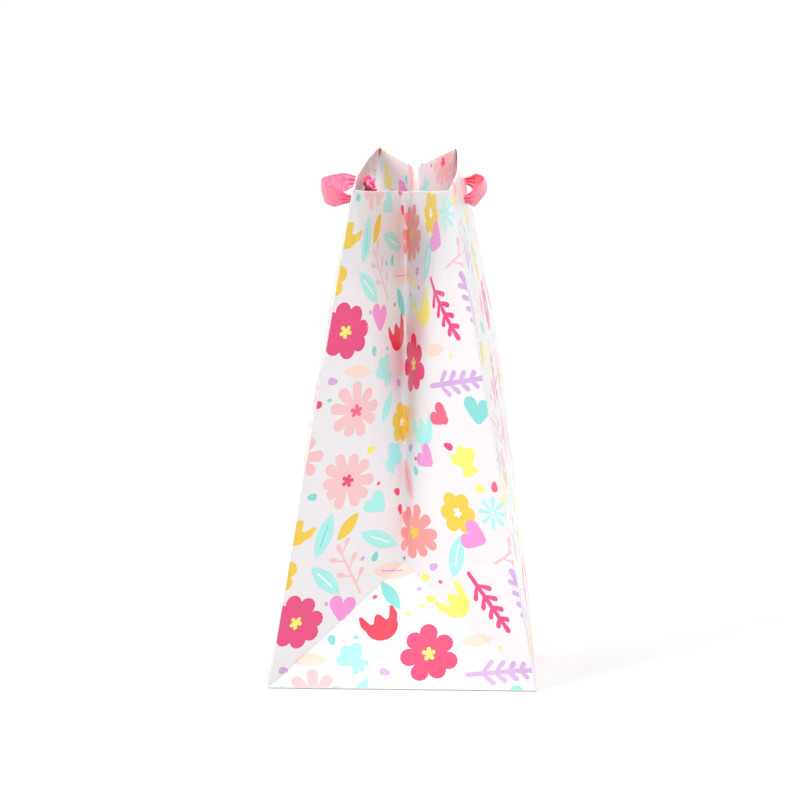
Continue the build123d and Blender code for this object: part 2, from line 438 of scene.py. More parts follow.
def paper_sheet(name, outline, surface, outward, lines=(), creases=no_creases, thickness=PAPER,
                holes=(), printed=True):
    """A sheet cut flat with its print, then folded. surface(u, v) takes millimetres and gives metres.
    creases(u, v) gives three distances to folds, in millimetres, for the wear along them; nearness to the
    hem's top turn also drives a painted highlight there."""
    flat, faces, colours = cut_flat(outline, lines, holes, printed)
    used = sorted({i for face in faces for i in face})
    new = {old: i for i, old in enumerate(used)}
    faces = [[new[i] for i in face] for face in faces]
    places = [surface(*flat[i]) for i in used]
    normals = [normal_of(surface, *flat[i]) for i in used]
    total = Vector()
    for face in faces:
        a, b, c = (places[i] for i in face)
        total += (b - a).cross(c - a)
    if total.dot(outward) < 0:
        faces = [list(reversed(face)) for face in faces]
    facing = 1 if sum(n.dot(outward) for n in normals) > 0 else -1
    normals = [n * facing for n in normals]
    count = len(places)
    inner = [p - n * thickness for p, n in zip(places, normals)]
    for place in places + inner:
        place.z = max(place.z, 0.0)
    inner_faces = [[i + count for i in reversed(face)] for face in faces]
    open_edges = {}
    for face in faces:
        for a, b in zip(face, face[1:] + face[:1]):
            if (b, a) in open_edges:
                del open_edges[(b, a)]
            else:
                open_edges[(a, b)] = True
    rim = [[b, a, a + count, b + count] for a, b in open_edges]
    mesh = bpy.data.meshes.new(name)
    mesh.from_pydata(places + inner, [], faces + inner_faces + rim)
    paint = mesh.attributes.new("print", "FLOAT_COLOR", "CORNER")
    values = []
    for colour in colours:
        values += [*linear(colour), 1.0] * 3
    values += [*linear(PAPER_WHITE), 1.0] * (3 * len(inner_faces) + 4 * len(rim))
    paint.data.foreach_set("color", values)
    wear_and_rim_highlight = mesh.attributes.new("crease_mm", "FLOAT_VECTOR", "POINT")
    distances = [d for i in used for d in creases(*flat[i])]
    wear_and_rim_highlight.data.foreach_set("vector", distances * 2)
    mesh.polygons.foreach_set("use_smooth", [True] * len(mesh.polygons))
    mesh.polygons.foreach_set("material_index", [0] * len(faces) + [1] * (len(inner_faces) + len(rim)))
    corner_normals = [normals[i] for face in faces for i in face]
    corner_normals += [-normals[i - count] for face in inner_faces for i in face]
    for quad in rim:
        a, b, c = (mesh.vertices[i].co for i in quad[:3])
        corner_normals += [(b - a).cross(c - a).normalized()] * 4
    mesh.update()
    mesh.normals_split_custom_set(corner_normals)
    return in_scene(name, mesh)


def turned_in(surface, turn, shrink):
    """The same wall with its hem folded down inside: above SLANT the sheet goes round a small turn."""
    top, radius = SLANT / MM, turn / MM
    arc = math.pi * radius

    def folded(u, v):
        if v <= top:
            return surface(u, v)
        if v <= top + arc:
            angle = (v - top) / radius
            up = (surface(u, top) - surface(u, top - 1)).normalized()
            out = outward_at(surface, u, top)
            return surface(u, top) + up * turn * math.sin(angle) - out * turn * (1 - math.cos(angle))
        down = 2 * top + arc - v
        inner_u = shrink(u)
        return surface(inner_u, down) - outward_at(surface, inner_u, down) * 2 * turn

    return folded


def outward_at(surface, u, v):
    """The wall's outward normal: away from the bag's upright middle line."""
    normal = normal_of(surface, u, v)
    point = surface(u, v)
    away = Vector((point.x, point.y, 0)) - surface.inside
    return normal if normal.dot(away) > 0 else -normal


def hem_rows(low_u, high_u, turn):
    """Rows across the turn at the top, close enough to make it round."""
    top, radius = SLANT / MM, turn / MM
    return [((low_u, top + math.pi * radius * share), (high_u, top + math.pi * radius * share))
            for share in (0.0, 0.2, 0.4, 0.6, 0.8, 1.0)]


def ripple(point, size, seed):
    """A slow waviness between -1 and 1."""
    return noise.noise(Vector(point) / size + Vector((seed, 3.7 * seed, 1.9)))


# ---- broad panels
BOW = 6.4 * MM
PRESS_WIDTH = 0.9  # mm
PANEL_PRESS, GUSSET_PRESS = 0.18 * MM, 0.20 * MM
PANEL_WAVE, GUSSET_WAVE = 0.45 * MM, 0.40 * MM  # how far the paper is from flat
FOOT_EASE = 10  # mm up the wall over which it comes down from the flaps that it stands on


def foot_lift(v):
    """How far the sheet is held up near its foot by the two flaps under it."""
    return 2 * PAPER * (1 - smooth_step(0, FOOT_EASE, v))


def pressed(off, depth):
    """The faint line of the fold that packs the bag flat, off millimetres away from it."""
    return depth * math.exp(-((off / PRESS_WIDTH) ** 2))


def along_panel(u, side):
    """How far from the bag's middle a place on a broad panel's sheet is, in metres."""
    return ((u - panel_start(side)) * MM - HALF_WIDTH) * -side


def bow(x, v):
    """How far a broad panel swells outward, x from -1 to 1 along it and v from 0 to 1 up it."""
    return BOW * (1 - x * x) * math.sin(math.pi * 0.86 * min(max(v, 0.0), 1.0) ** 1.3)


def panel_surface(side):
    """The outer face of the front (-1) or back (1) panel over the flat sheet."""
    out = Vector((0, side * math.cos(LEAN), math.sin(LEAN)))

    def surface(u, v):
        x, up = along_panel(u, side), v * MM
        base = Vector((x, side * (HALF_DEPTH - up * math.sin(LEAN)), up * math.cos(LEAN) + foot_lift(v)))
        share, rise = x / HALF_WIDTH, up / SLANT
        edge = smooth_step(0, 0.12, 1 - abs(share)) * smooth_step(0, 0.08, rise)
        wave = PANEL_WAVE * ripple((x, up, side), 0.055, 2.0 + side)
        press = pressed(v - HALF_DEPTH / MM, PANEL_PRESS)
        return base + out * (bow(share, rise) + (wave - press) * edge)

    surface.inside = Vector((0, 0, 0))
    return surface


HEM_DRAWN_IN = 1 - 3.6 * PANEL_TURN / HALF_WIDTH


def hem_inset(start):
    """Draws the hem's ends in from the corner creases, so that the neighbouring hems meet."""
    middle = start + HALF_WIDTH / MM
    return lambda u: middle + (u - middle) * HEM_DRAWN_IN


def make_panel(side_name, side):
    start = panel_start(side)
    end = start + WIDTH / MM
    top = SLANT / MM
    surface = turned_in(panel_surface(side), PANEL_TURN, hem_inset(start))
    hem_top = top + math.pi * PANEL_TURN / MM + HEM / MM
    press = HALF_DEPTH / MM
    lines = hem_rows(start, end, PANEL_TURN)
    lines += [((start, press + off), (end, press + off)) for off in (-1.2, 0.0, 1.2)]

    def creases(u, v):
        # rim: distance to the top turn, which the printed paper paints pale as a painted highlight
        rim = top - v if v < top else max(v - top - math.pi * PANEL_TURN / MM, 0.0)
        return (min(u - start, end - u), v, rim)

    outline = [(start, 0), (end, 0), (end, hem_top), (start, hem_top)]
    hem_side = 2 * top + math.pi * PANEL_TURN / MM
    middle = start + HALF_WIDTH / MM
    holes = []
    for x in (-HOLE_SPACING / 2 / MM, HOLE_SPACING / 2 / MM):
        holes.append((middle + x, HOLE_V))
        holes.append((middle + x / HEM_DRAWN_IN, hem_side - HOLE_V))
    sheet = paper_sheet(f"{side_name}_printed_panel", outline, surface, Vector((0, side, 0)), lines,
                        creases, holes=holes)
    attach(sheet, f"{side_name}_panel")
    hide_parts(f"{side_name}_panel", f"{side_name}_top_hem")
    dressed(sheet, PRINTED, UNPRINTED)


def behind_panel(side, depth):
    """The face that lies depth inside the front (-1) or back (1) panel's outer face."""
    panel = panel_surface(side)
    return lambda u, v: panel(u, v) - outward_at(panel, u, v) * depth


def make_top_board(side_name, side):
    """The stiff greyboard strip in the hem, bent with its panel."""
    middle = panel_start(side) + HALF_WIDTH / MM
    reach = (HALF_WIDTH - TOP_BOARD_END_GAP) / MM
    high = (SLANT - TOP_BOARD_DROP) / MM
    low = high - TOP_BOARD_HEIGHT / MM
    outline = [(middle - reach, low), (middle + reach, low), (middle + reach, high),
               (middle - reach, high)]
    holes = [(middle - HOLE_SPACING / 2 / MM, HOLE_V), (middle + HOLE_SPACING / 2 / MM, HOLE_V)]
    surface = behind_panel(side, PAPER + SNUG)
    board = paper_sheet(f"{side_name}_bent_board", outline, surface, Vector((0, side, 0)),
                        thickness=TOP_BOARD - 2 * SNUG, holes=holes, printed=False)
    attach(board, f"{side_name}_panel")
    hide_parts(f"{side_name}_top_board")
    dressed(board, BOARD, BOARD)


def make_seam_flap():
    """The glued strip that closes the sheet into a tube, inside the back panel."""
    corner = BACK_START / MM
    outline = [(corner + SEAM_START, SEAM_LOW), (corner + SEAM_END, SEAM_LOW),
               (corner + SEAM_END, SEAM_HIGH), (corner + SEAM_START, SEAM_HIGH)]
    flap = paper_sheet("glued_seam_flap", outline, behind_panel(1, PAPER + SNUG), Vector((0, 1, 0)),
                       thickness=PAPER - SNUG, printed=False)
    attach(flap, "back_panel")
    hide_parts("side_seam_flap")
    dressed(flap, UNPRINTED, UNPRINTED)


def face_out(obj):
    """Turns a closed mesh's faces outward by the sign of its volume."""
    mesh = obj.data
    volume = 0.0
    for polygon in mesh.polygons:
        corners = [mesh.vertices[i].co for i in polygon.vertices]
        for b, c in zip(corners[1:], corners[2:]):
            volume += corners[0].dot(b.cross(c))
    if volume < 0:
        mesh.flip_normals()
    mesh.update()


# ---- gussets
LOWER_COS = (1 - math.sin(LEAN)) / math.cos(LEAN)
LOWER_SIN = math.sqrt(1 - LOWER_COS**2)
FOLD_SOFTNESS = 17.0  # mm each side of the diagonal fold over which the paper curves
CREASE_ROUND = 3.4  # mm each side of the middle crease over which the valley is rounded
MIDDLE_STRIP = (3.6, 7.4)  # mm that the crease's strip reaches over the back half, low down and at the top
STRIP_PAPER = 0.08 * MM
STRIP_LIFT = STRIP_PAPER + 0.03 * MM
CORNER_CUT = 0.8  # mm cut off the sheet's top corner, so that its turn doesn't bunch up there
GUSSET_HEM_INSET = 1.0  # mm that a gusset's hem is drawn in from the corner crease
CREASE_LIFT = 1.6 * MM  # the stiff folded hem holds the middle crease's top up this much


def gusset_corners():
    """Base corner, apex, top corner and the middle crease's top, as (how far in, off the middle, up)."""
    top_y = HALF_DEPTH - SLANT * math.sin(LEAN)
    top_z = SLANT * math.cos(LEAN)
    apex = Vector((HALF_DEPTH * LOWER_SIN, 0, HALF_DEPTH * LOWER_COS))
    reach = math.sqrt(HALF_DEPTH**2 - top_y**2)
    between = math.hypot(apex.x, top_z - apex.z)
    along = (reach**2 - V_CREASE**2 + between**2) / (2 * between)
    across = math.sqrt(reach**2 - along**2)
    crease = Vector(((along * apex.x + across * (top_z - apex.z)) / between, 0,
                     top_z + (along * (apex.z - top_z) + across * apex.x) / between))
    return Vector((0, HALF_DEPTH, 0)), apex, Vector((0, top_y, top_z)), crease


BASE_CORNER, APEX, TOP_CORNER, CREASE_TOP = gusset_corners()


def in_bag(point, end, side):
    """A point given as (how far in, how far from the middle, height) put at its gusset half."""
    return Vector((end * (HALF_WIDTH - point.x), side * point.y, point.z))


def half_gusset_surface(end, side):
    """The outer face of half a gusset, folded along the diagonal from its apex to its top corner."""
    h, top = HALF_DEPTH / MM, SLANT / MM
    rise = top - h
    diagonal = math.hypot(h, rise)
    outer_up = (TOP_CORNER - BASE_CORNER) / top
    outer_across = (APEX - BASE_CORNER) / h - outer_up
    inner_up = (CREASE_TOP - APEX) / rise
    inner_across = (CREASE_TOP - TOP_CORNER) / h
    # One millimetre away from the diagonal, on the flat paper, goes this far on each facet.
    away = Vector((rise, h)) / diagonal
    bend = (inner_across * away.x + inner_up * away.y) - (outer_across * away.x + outer_up * away.y)
    out = (in_bag(outer_across.cross(outer_up), end, side) - in_bag(Vector(), end, side)).normalized()
    if out.x * end < 0:
        out = -out

    def surface(u, v):
        a = across_of(u, end, side)
        s = (a * rise + (v - top) * h) / diagonal
        room = 0.32 * min(top - v, v - h)
        soft = max(min(FOLD_SOFTNESS, room), 0.01)
        turned = s if s >= soft else (0.0 if s <= -soft else (s + soft) ** 2 / (4 * soft))
        point = BASE_CORNER + outer_across * a + outer_up * v + bend * turned
        wide = min(CREASE_ROUND, 0.5 * max(v - h, 0.01), h)
        rounded = max(wide - (h - a), 0.0) ** 2 / (2 * wide)
        point.x -= inner_across.x * rounded * smooth_step(0, 6, v - h)
        lift = CREASE_LIFT * smooth_step(0.15, 1.0, a / h) * smooth_step(0.55, 1.0, (v - h) / rise)
        point = in_bag(point, end, side) + Vector((0, 0, lift + foot_lift(v)))
        edge = smooth_step(0, 14, a) * smooth_step(0, 12, h - a) * smooth_step(0, 14, v - a)
        edge *= smooth_step(0, 8, top + 2 - v)
        wave = GUSSET_WAVE * ripple((a * MM, v * MM, end + 0.5 * side), 0.045, 5.0 + end + 2 * side)
        return point + out * (wave - pressed(v - h, GUSSET_PRESS)) * edge

    surface.inside = Vector((end * (HALF_WIDTH - 2 * HALF_DEPTH), side * HALF_DEPTH, 0))
    return surface


def across_of(u, end, side):
    """Millimetres from the broad panel's corner crease, for a place on the flat sheet."""
    start = gusset_start(end)
    # Going round the bag, the right gusset runs front to back and the left one back to front.
    from_front = (u - start) if end > 0 else (start + DEPTH / MM - u)
    return from_front if side < 0 else DEPTH / MM - from_front


def sheet_u(a, end, side):
    """The place on the flat sheet that is a millimetres from the panel's corner crease."""
    start = gusset_start(end)
    from_front = a if side < 0 else DEPTH / MM - a
    return start + from_front if end > 0 else start + DEPTH / MM - from_front


def fold_rows(at):
    """Lines along the diagonal fold that keep the sheet and the hem behind it equally round."""
    depth = HEM / MM - 2
    h, top = HALF_DEPTH / MM, SLANT / MM
    rise = top - h
    diagonal = math.hypot(h, rise)
    hem_end = 2 * top + math.pi * GUSSET_TURN / MM
    rows = []
    for off in (-9.0, -6.0, -3.0, 3.0, 6.0, 9.0):
        high = top - (abs(off) + 0.6) * rise / h - 1.5
        ends = [((top - v) * h / rise + off * rise / diagonal, v + off * h / diagonal)
                for v in (top - depth, high)]
        rows.append(tuple(at(a, v) for a, v in ends))
        rows.append(tuple(at((a - GUSSET_HEM_INSET) / (1 - GUSSET_HEM_INSET / h), hem_end - v)
                          for a, v in ends))
    return rows


def make_half_gusset(end_name, end, side_name, side):
    h, top = HALF_DEPTH / MM, SLANT / MM
    plain = half_gusset_surface(end, side)

    def drawn_in(u):
        a = across_of(u, end, side)
        return sheet_u(GUSSET_HEM_INSET + a * (1 - GUSSET_HEM_INSET / h), end, side)

    surface = turned_in(plain, GUSSET_TURN, drawn_in)
    hem_top = top + math.pi * GUSSET_TURN / MM + HEM / MM

    def at(a, v):
        return sheet_u(a, end, side), v

    outline = [at(0, 0), at(h, h), at(h, hem_top), at(CORNER_CUT, hem_top),
               at(CORNER_CUT, top + 0.1), at(0, top - 0.7)]
    lines = [(at(h, h), at(0, top - 0.7))] + fold_rows(at)
    lines += hem_rows(sheet_u(CORNER_CUT, end, side), sheet_u(h, end, side), GUSSET_TURN)
    lines += [(at(0, h + off), at(h + min(off, 0), h + off)) for off in (-1.2, 0.0, 1.2)]
    diagonal = math.hypot(h, top - h)

    def creases(u, v):
        a = across_of(u, end, side)
        fold = (a * (top - h) + (v - top) * h) / diagonal
        # rim: distance to the top turn, which the printed paper paints pale as a painted highlight
        rim = top - v if v < top else max(v - top - math.pi * GUSSET_TURN / MM, 0.0)
        return (min(a, h - a), fold if v < top else FAR, min((v - a) * 0.7, rim))

    name = f"{end_name}_{side_name}_gusset"
    sheet = paper_sheet(f"{name}_printed", outline, surface, Vector((end, 0, 0)), lines, creases)
    along = (in_bag(TOP_CORNER, end, side) - in_bag(APEX, end, side)).normalized()
    towards = in_bag((CREASE_TOP + APEX) / 2, end, side) - in_bag(BASE_CORNER, end, side)
    towards = (towards - along * towards.dot(along)).normalized()
    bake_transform(sheet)
    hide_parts(f"{name}_outer", f"{name}_inner",
                f"{end_name}_{side_name}_hem_corner", f"{end_name}_{side_name}_hem_strip")
    dressed(sheet, PRINTED, UNPRINTED)


def make_lower_gusset(end_name, end):
    h = HALF_DEPTH / MM
    middle = sheet_u(h, end, -1)
    out = Vector((end * LOWER_COS, 0, LOWER_SIN))

    def surface(u, v):
        y = (u - middle) * end * MM
        up = v * MM
        point = Vector((end * (HALF_WIDTH - up * LOWER_SIN), y, up * LOWER_COS + foot_lift(v)))
        edge = smooth_step(0, 12, h - v - abs(y) / MM) * smooth_step(0, 8, v)
        return point + out * (0.5 * MM * edge * (0.5 + ripple((y, up, end), 0.04, 11.0)))

    def creases(u, v):
        clear = (h - v - abs(u - middle)) * 0.7
        return (clear, v, FAR)

    outline = [(middle - h, 0), (middle + h, 0), (middle, h)]
    name = f"{end_name}_lower_gusset_printed"
    sheet = paper_sheet(name, outline, surface, Vector((end, 0, 0)), creases=creases)
    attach(sheet, f"{end_name}_lower_gusset")
    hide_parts(f"{end_name}_lower_gusset")
    dressed(sheet, PRINTED, UNPRINTED)


def make_middle_strip(end_name, end):
    """The print carried over the middle crease, because the gusset's two halves draw apart there."""
    h, top = HALF_DEPTH / MM, SLANT / MM
    front, back = (half_gusset_surface(end, side) for side in (-1, 1))

    def surface(u, v):
        under = front if across_of(u, end, -1) <= h else back
        return under(u, v) + outward_at(under, u, v) * STRIP_LIFT

    def at(a, v):
        return sheet_u(a, end, -1), v

    def creases(u, v):
        # Only the distance to the top edge, where the printed paper paints a pale painted highlight.
        return (FAR, FAR, top - v)

    low, high = MIDDLE_STRIP
    rim = top - 0.3
    outline = [at(h - 1, h + 3), at(h, h + 0.8), at(h + low, h + 6), at(h + high, rim), at(h - 1, rim)]
    lines = [(at(h + off, h + 5), at(h + off * high / low, rim)) for off in (0, 0.33 * low, 0.67 * low)]
    strip = paper_sheet(f"{end_name}_middle_crease_strip", outline, surface, Vector((end, 0, 0)), lines,
                        creases, thickness=STRIP_PAPER)
    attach(strip, f"{end_name}_front_gusset_inner")
    dressed(strip, PRINTED_FILM, UNPRINTED)


# ---- bottom
FLAP_INSET = 1.3  # mm that the long flaps' cut ends stay back from the bag's ends


def make_bottom_flap(wall_name, outline, surface):
    def creases(u, v):
        return (FAR, -v, FAR)

    name = f"{wall_name}_printed_bottom_flap"
    sheet = paper_sheet(name, outline, surface, Vector((0, 0, -1)), creases=creases)
    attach(sheet, "base")
    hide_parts(f"{wall_name}_bottom_flap")
    dressed(sheet, PRINTED, UNPRINTED)


def make_long_flap(side_name, side, layer):
    start = panel_start(side)
    depth = (HALF_DEPTH + FLAP_OVERLAP) / MM

    def surface(u, v):
        return Vector((along_panel(u, side), side * (HALF_DEPTH + v * MM), layer * PAPER))

    left, right = start + FLAP_INSET, start + WIDTH / MM - FLAP_INSET
    outline = [(left, -depth), (right, -depth), (right, 0), (left, 0)]
    make_bottom_flap(side_name, outline, surface)


def make_end_flap(end_name, end):
    h = HALF_DEPTH / MM
    middle = sheet_u(h, end, -1)
    reach = END_FLAP_REACH / MM

    def surface(u, v):
        return Vector((end * (HALF_WIDTH + v * MM), (u - middle) * end * MM, 2 * PAPER))

    outline = [(middle - h + reach, -reach), (middle + h - reach, -reach), (middle + h, 0),
               (middle - h, 0)]
    make_bottom_flap(end_name, outline, surface)


# ---- materials
class Net:
    """A node tree, with short ways to add to it."""

    def __init__(self, tree):
        self.nodes, self.links = tree.nodes, tree.links

    def fill(self, node, inputs):
        """Links or sets a node's inputs, which are given by name or number."""
        for key, value in inputs.items():
            if isinstance(value, bpy.types.NodeSocket):
                self.links.new(value, node.inputs[key])
            elif value is not None:
                node.inputs[key].default_value = value

    def node(self, kind, inputs=None, **settings):
        node = self.nodes.new(kind)
        for name, value in settings.items():
            setattr(node, name, value)
        self.fill(node, inputs or {})
        return node

    def math(self, operation, first, second=None):
        return self.node("ShaderNodeMath", {0: first, 1: second}, operation=operation).outputs[0]

    def times(self, first, second):
        return self.math("MULTIPLY", first, second)

    def less(self, first, second):
        return self.math("SUBTRACT", first, second)

    def noise(self, place, scale, detail=4.0, roughness=0.5):
        inputs = {"Vector": place, "Scale": scale, "Detail": detail, "Roughness": roughness}
        return self.node("ShaderNodeTexNoise", inputs).outputs["Fac"]

    def ramp(self, factor, low, high, low_value, high_value):
        """Maps factor from low..high to low_value..high_value, clamped."""
        inputs = {"Value": factor, "From Min": low, "From Max": high, "To Min": low_value,
                  "To Max": high_value}
        return self.node("ShaderNodeMapRange", inputs).outputs["Result"]

    def mix(self, factor, first, second, blend_type="MIX"):
        node = self.node("ShaderNodeMix", data_type="RGBA", blend_type=blend_type)
        self.fill(node, {0: factor, 6: first, 7: second})
        return node.outputs[2]

    def attribute(self, name, output="Vector"):
        return self.node("ShaderNodeAttribute", attribute_name=name).outputs[output]

    def split(self, vector):
        return self.node("ShaderNodeSeparateXYZ", {0: vector}).outputs

    def place(self):
        """Object coordinates, for patterns."""
        return self.node("ShaderNodeTexCoord").outputs["Object"]


def new_finish(name):
    """A bare material, its net and its shader."""
    material = bpy.data.materials.new(name)
    material.use_nodes = True
    material.node_tree.nodes.clear()
    net = Net(material.node_tree)
    shader = net.node("ShaderNodeBsdfPrincipled")
    net.node("ShaderNodeOutputMaterial", {"Surface": shader.outputs["BSDF"]})
    return material, net, shader


def add_bump(net, shader, height, strength, distance):
    bump = net.node("ShaderNodeBump", {"Strength": strength, "Distance": distance, "Height": height})
    net.fill(shader, {"Normal": bump.outputs["Normal"]})


# Thin paper glows a little on its far side.
THIN_PAPER = {"Subsurface Weight": 0.8, "Subsurface Radius": (1.0, 1.0, 1.0), "Subsurface Scale": 0.0009}


def printed_paper(name, thin=THIN_PAPER):
    """White art paper printed with flat inks under a thin gloss film, worn pale along its folds, with a
    pale painted highlight along the top turn of its hem.
    """
    material, net, shader = new_finish(name)
    place = net.place()
    folds = net.split(net.attribute("crease_mm"))
    x, y, z = (net.math("ABSOLUTE", folds[axis]) for axis in "XYZ")
    nearest = net.math("MINIMUM", net.math("MINIMUM", x, y), z)
    wear_and_highlight_patches = net.ramp(net.noise(place, 900.0, 5.0, 0.7), 0.42, 0.72, 0.0, 0.75)
    # Pale along the folds is wear. Pale along the top turn of the hem, from the third distance, is a
    # painted highlight.
    wear_and_rim_highlight = net.times(net.ramp(nearest, 0.10, 0.55, 1.0, 0.0), wear_and_highlight_patches)
    mottle = net.ramp(net.noise(place, 320.0, 6.0, 0.6), 0.3, 0.7, 0.0, 0.10)
    tint = net.mix(mottle, net.attribute("print", "Color"), (0.88, 0.85, 0.88, 1.0), "MULTIPLY")
    film = net.ramp(net.noise(place, 60.0, 3.0), 0.3, 0.7, 0.30, 0.40)
    net.fill(shader, {"Base Color": net.mix(wear_and_rim_highlight, tint, (0.93, 0.92, 0.92, 1.0)),
                      "Roughness": net.math("ADD", film, net.times(wear_and_rim_highlight, 0.35)),
                      "Coat Weight": 0.35, "Coat Roughness": 0.16, "IOR": 1.45, **thin})
    fibre, peel = net.noise(place, 1400.0, 4.0, 0.6), net.noise(place, 130.0, 2.0)
    add_bump(net, shader, net.math("ADD", net.times(fibre, 0.12), peel), 0.25, 0.00012)
    return material


def plain_paper():
    """The sheet's unprinted side: white, matt and faintly fibrous."""
    material, net, shader = new_finish("unprinted_paper")
    place = net.place()
    cloud, fibre = net.noise(place, 90.0, 5.0, 0.6), net.noise(place, 1500.0, 5.0, 0.75)
    colour = net.mix(net.ramp(cloud, 0.3, 0.7, 0.0, 1.0), (0.86, 0.84, 0.83, 1.0), (0.91, 0.90, 0.89, 1.0))
    colour = net.mix(net.ramp(fibre, 0.35, 0.75, 0.0, 0.12), colour, (0.70, 0.68, 0.66, 1.0))
    net.fill(shader, {"Base Color": colour, "Roughness": net.ramp(fibre, 0.3, 0.7, 0.78, 0.90),
                      **THIN_PAPER})
    add_bump(net, shader, fibre, 0.35, 0.00006)
    return material


def greyboard():
    """Pressed board with flecks of the waste paper that it is made from."""
    material, net, shader = new_finish("greyboard")
    place = net.place()
    dark, light = (0.47, 0.44, 0.41), (0.60, 0.57, 0.53)
    speck = [0.45 * part for part in dark]
    cloud, fleck = net.noise(place, 60.0, 6.0, 0.65), net.noise(place, 700.0, 3.0, 0.7)
    colour = net.mix(net.ramp(cloud, 0.3, 0.7, 0.0, 1.0), (*dark, 1.0), (*light, 1.0))
    colour = net.mix(net.ramp(fleck, 0.66, 0.74, 0.0, 0.7), colour, (*speck, 1.0))
    net.fill(shader, {"Base Color": colour, "Roughness": net.ramp(fleck, 0.3, 0.7, 0.80, 0.95)})
    add_bump(net, shader, fleck, 0.5, 0.00012)
    return material


RIB_PITCH = 0.35 * MM
THREAD_PITCH = 0.28 * MM


def satin_ribbon():
    """Coral satin: fine cross ribs, random bands between a deep red and a lighter pink that are painted
    sheen, and slightly darker woven edges.
    """
    material, net, shader = new_finish("satin_ribbon")
    woven = net.attribute("weave")
    parts = net.split(woven)
    across, along = parts["X"], parts["Y"]
    ribs = net.math("SINE", net.times(along, 2 * math.pi / RIB_PITCH))
    threads = net.math("SINE", net.times(across, 2 * math.pi / THREAD_PITCH))
    # Painted sheen: random bands of the ribbon's lit pink over its shaded red; the same noise varies the
    # roughness.
    sheen_band_noise = net.noise(woven, 260.0, 4.0, 0.6)
    painted_sheen_bands = net.ramp(sheen_band_noise, 0.3, 0.7, 0.0, 1.0)
    colour = net.mix(painted_sheen_bands, (0.86, 0.045, 0.130, 1.0), (0.98, 0.165, 0.300, 1.0))
    colour = net.mix(net.ramp(ribs, -1.0, 1.0, 0.0, 0.22), colour, (0.70, 0.03, 0.12, 1.0))
    selvedge = net.ramp(net.math("ABSOLUTE", across), 0.0042, 0.0046, 0.0, 0.55)
    net.fill(shader, {"Base Color": net.mix(selvedge, colour, (0.62, 0.035, 0.13, 1.0)),
                      "Roughness": net.ramp(sheen_band_noise, 0.3, 0.7, 0.20, 0.32),
                      "Specular IOR Level": 0.9, "Anisotropic": 0.5, "Sheen Weight": 0.15,
                      "Sheen Roughness": 0.4, "Sheen Tint": (1.0, 0.62, 0.72, 1.0)})
    add_bump(net, shader, net.math("ADD", ribs, net.times(threads, 0.5)), 0.35, 0.00005)
    return material


PRINTED = printed_paper("printed_gloss_paper")
PRINTED_FILM = printed_paper("printed_crease_film", thin={})
UNPRINTED = plain_paper()
BOARD = greyboard()
SATIN = satin_ribbon()


def dressed(sheet, outside, inside):
    """Gives a sheet its outer finish, then the finish of its back and edges."""
    sheet.data.materials.append(outside)
    sheet.data.materials.append(inside)


# ---- ribbons
# The handle ribbon's route: across the bag, and outside the line that it swings about.
LOOP_ROUTE = [(-47.5, 0.0), (-38.5, 6.8), (-25.0, 11.6), (-9.0, 14.0),
              (9.0, 14.4), (25.0, 12.0), (39.0, 6.4), (47.5, 0.0)]
NECK_DEPTH = -1.8  # the ribbon comes out of the punched hole behind the line that it swings about
PIVOT_Y = HALF_DEPTH - (SLANT - HOLE_DROP) * math.sin(LEAN) + PIVOT_REACH * math.cos(LEAN)
PIVOT_Z = (SLANT - HOLE_DROP) * math.cos(LEAN) + PIVOT_REACH * math.sin(LEAN)
RIBBON_ROWS = 141
RIBBON_COLUMNS = 21


def nurbs_line(points):
    """The smooth line that a NURBS spline draws from its route points."""
    curve = bpy.data.curves.new("route", "CURVE")
    curve.dimensions = "3D"
    curve.resolution_u = 12
    spline = curve.splines.new("NURBS")
    spline.points.add(len(points) - 1)
    for place, point in zip(spline.points, points):
        place.co = (*point, 1.0)
    spline.order_u = 3
    spline.use_endpoint_u = True
    route = in_scene("route", curve)
    mesh = bpy.data.meshes.new_from_object(route.evaluated_get(bpy.context.evaluated_depsgraph_get()))
    line = [vertex.co.copy() for vertex in mesh.vertices]
    bpy.data.meshes.remove(mesh)
    bpy.data.objects.remove(route)
    return line


RIBBON_SIZES = {
    "Full width": 0.010,
    "First width": 0.0036,
    "Last width": 0.0036,
    "Gather": 0.15,
    "Pleats": 3.0,
    "Pleat depth": 0.0008,
    "Lean": 0.0,
    "Curl": 0.0005,
    "Length": 0.10,
}


